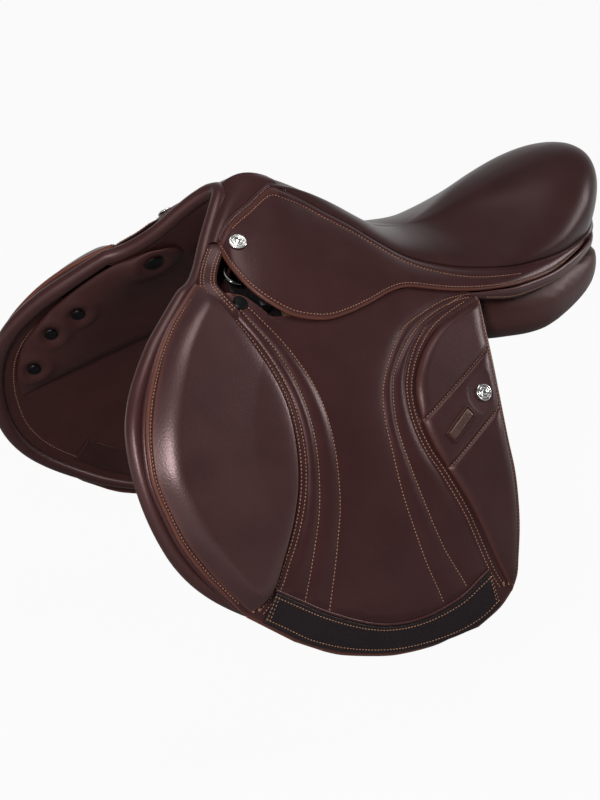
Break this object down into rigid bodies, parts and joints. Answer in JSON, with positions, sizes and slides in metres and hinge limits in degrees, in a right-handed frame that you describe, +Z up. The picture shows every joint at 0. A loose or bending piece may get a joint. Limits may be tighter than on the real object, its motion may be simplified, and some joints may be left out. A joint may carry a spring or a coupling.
{
  "type": "jumping saddle",
  "caption": "Close-contact leather jumping saddle with padded forward flaps, hinged skirts, stirrup bars, girth straps and a deep seat.",
  "frame": {"origin": "on the mid-plane in the channel between the panels, at the horse's back", "axes": "+Z up, front of the saddle towards -Y, the rider's left side towards +X"},
  "size_m": [0.4822, 0.6026, 0.407],
  "materials": {
    "leather": "dark brown oiled leather",
    "seat_leather": "dark brown soft seat leather",
    "roll_leather": "red-brown rolled leather",
    "dark_leather": "near-black grained leather",
    "nickel": "polished nickel",
    "steel": "forged and brushed steel",
    "black_plastic": "black moulded plastic",
    "tree_wood": "laminated beech",
    "foam": "closed-cell foam",
    "web": "woven web"
  },
  "bodies": {
    "saddle": {"tree_head": "tree_wood", "gullet_plate": "steel", "tree_frame": "tree_wood", "seat_web": "web", "seat_foam": "foam", "seat_cover": "seat_leather", "pommel_cap": "leather", "cantle_facing": "leather", "rear_welt": "dark_leather", "edge_roll": "roll_leather", "left_skirt": "leather", "left_skirt_stud": "nickel", "left_flap_head": "leather", "left_panel": "leather", "left_front_pad": "leather", "left_sweat_flap": "leather", "left_knee_block": "dark_leather", "left_panel_caps": "black_plastic", "left_dee_clip": "nickel", "left_stirrup_bar": "steel", "left_bar_boss": "black_plastic", "left_girth_web": "web", "right_skirt": "leather", "right_skirt_stud": "nickel", "right_flap_head": "leather", "right_panel": "leather", "right_front_pad": "leather", "right_sweat_flap": "leather", "right_knee_block": "dark_leather", "right_panel_caps": "black_plastic", "right_dee_clip": "nickel", "right_stirrup_bar": "steel", "right_bar_boss": "black_plastic", "right_girth_web": "web"},
    "left_flap_body": {"left_flap": "leather", "left_knee_pad": "leather", "left_calf_pad": "leather", "left_flap_band": "dark_leather", "left_keeper": "leather", "left_flap_stud": "nickel"},
    "left_skirt_lobe_body": {"left_skirt_lobe": "leather"},
    "left_dee_body": {"left_dee": "nickel"},
    "left_catch_body": {"left_safety_catch": "steel"},
    "left_strap_front_body": {"left_billet_front": "dark_leather"},
    "left_strap_middle_body": {"left_billet_middle": "dark_leather", "left_buckle_guard": "dark_leather"},
    "left_strap_rear_body": {"left_billet_rear": "dark_leather"},
    "right_flap_body": {"right_flap": "leather", "right_knee_pad": "leather", "right_calf_pad": "leather", "right_flap_band": "dark_leather", "right_keeper": "leather", "right_flap_stud": "nickel"},
    "right_skirt_lobe_body": {"right_skirt_lobe": "leather"},
    "right_dee_body": {"right_dee": "nickel"},
    "right_catch_body": {"right_safety_catch": "steel"},
    "right_strap_front_body": {"right_billet_front": "dark_leather"},
    "right_strap_middle_body": {"right_billet_middle": "dark_leather", "right_buckle_guard": "dark_leather"},
    "right_strap_rear_body": {"right_billet_rear": "dark_leather"}
  },
  "joints": [
    {"name": "left_flap_lift", "type": "hinge", "parent": "saddle", "child": "left_flap_body", "pos_m": [0.13719, 0, 0.08023], "axis": [0, -1, 0], "range_deg": [0, 75]},
    {"name": "left_skirt_lift", "type": "hinge", "parent": "saddle", "child": "left_skirt_lobe_body", "pos_m": [0.09494, -0.172, 0.13675], "axis": [-0.199, -0.964, 0.1765], "range_deg": [0, 60]},
    {"name": "left_catch_turn", "type": "hinge", "parent": "saddle", "child": "left_catch_body", "pos_m": [0.10737, -0.08, 0.1], "axis": [0.6803, 0, 0.7329], "range_deg": [0, 90]},
    {"name": "left_dee_swing", "type": "hinge", "parent": "saddle", "child": "left_dee_body", "pos_m": [0.08564, -0.166, 0.12163], "axis": [-0.8227, 0, 0.5685], "range_deg": [0, 20]},
    {"name": "left_strap_swing", "type": "hinge", "parent": "saddle", "child": "left_strap_middle_body", "pos_m": [0.13315, -0.058, 0.05919], "axis": [0.9348, 0, 0.3551], "range_deg": [-5, 5]},
    {"name": "left_strap_front_swing", "type": "hinge", "parent": "saddle", "child": "left_strap_front_body", "pos_m": [0.13315, -0.095, 0.05919], "axis": [0.9348, 0, 0.3551], "range_deg": [-5, 5]},
    {"name": "left_strap_rear_swing", "type": "hinge", "parent": "saddle", "child": "left_strap_rear_body", "pos_m": [0.13315, -0.021, 0.05919], "axis": [0.9348, 0, 0.3551], "range_deg": [-5, 5]},
    {"name": "right_flap_lift", "type": "hinge", "parent": "saddle", "child": "right_flap_body", "pos_m": [-0.13719, 0, 0.08023], "axis": [0, 1, 0], "range_deg": [0, 75]},
    {"name": "right_skirt_lift", "type": "hinge", "parent": "saddle", "child": "right_skirt_lobe_body", "pos_m": [-0.09494, -0.172, 0.13675], "axis": [-0.199, 0.964, -0.1765], "range_deg": [0, 60]},
    {"name": "right_catch_turn", "type": "hinge", "parent": "saddle", "child": "right_catch_body", "pos_m": [-0.10737, -0.08, 0.1], "axis": [0.6803, 0, -0.7329], "range_deg": [0, 90]},
    {"name": "right_dee_swing", "type": "hinge", "parent": "saddle", "child": "right_dee_body", "pos_m": [-0.08564, -0.166, 0.12163], "axis": [-0.8227, 0, -0.5685], "range_deg": [0, 20]},
    {"name": "right_strap_swing", "type": "hinge", "parent": "saddle", "child": "right_strap_middle_body", "pos_m": [-0.13315, -0.058, 0.05919], "axis": [0.9348, 0, -0.3551], "range_deg": [-5, 5]},
    {"name": "right_strap_front_swing", "type": "hinge", "parent": "saddle", "child": "right_strap_front_body", "pos_m": [-0.13315, -0.095, 0.05919], "axis": [0.9348, 0, -0.3551], "range_deg": [-5, 5]},
    {"name": "right_strap_rear_swing", "type": "hinge", "parent": "saddle", "child": "right_strap_rear_body", "pos_m": [-0.13315, -0.021, 0.05919], "axis": [0.9348, 0, -0.3551], "range_deg": [-5, 5]}
  ],
  "couplings": [
    {"joint": "left_strap_front_swing", "follows": "left_strap_swing", "ratio": 1},
    {"joint": "left_strap_rear_swing", "follows": "left_strap_swing", "ratio": 1},
    {"joint": "right_strap_front_swing", "follows": "right_strap_swing", "ratio": 1},
    {"joint": "right_strap_rear_swing", "follows": "right_strap_swing", "ratio": 1}
  ]
}
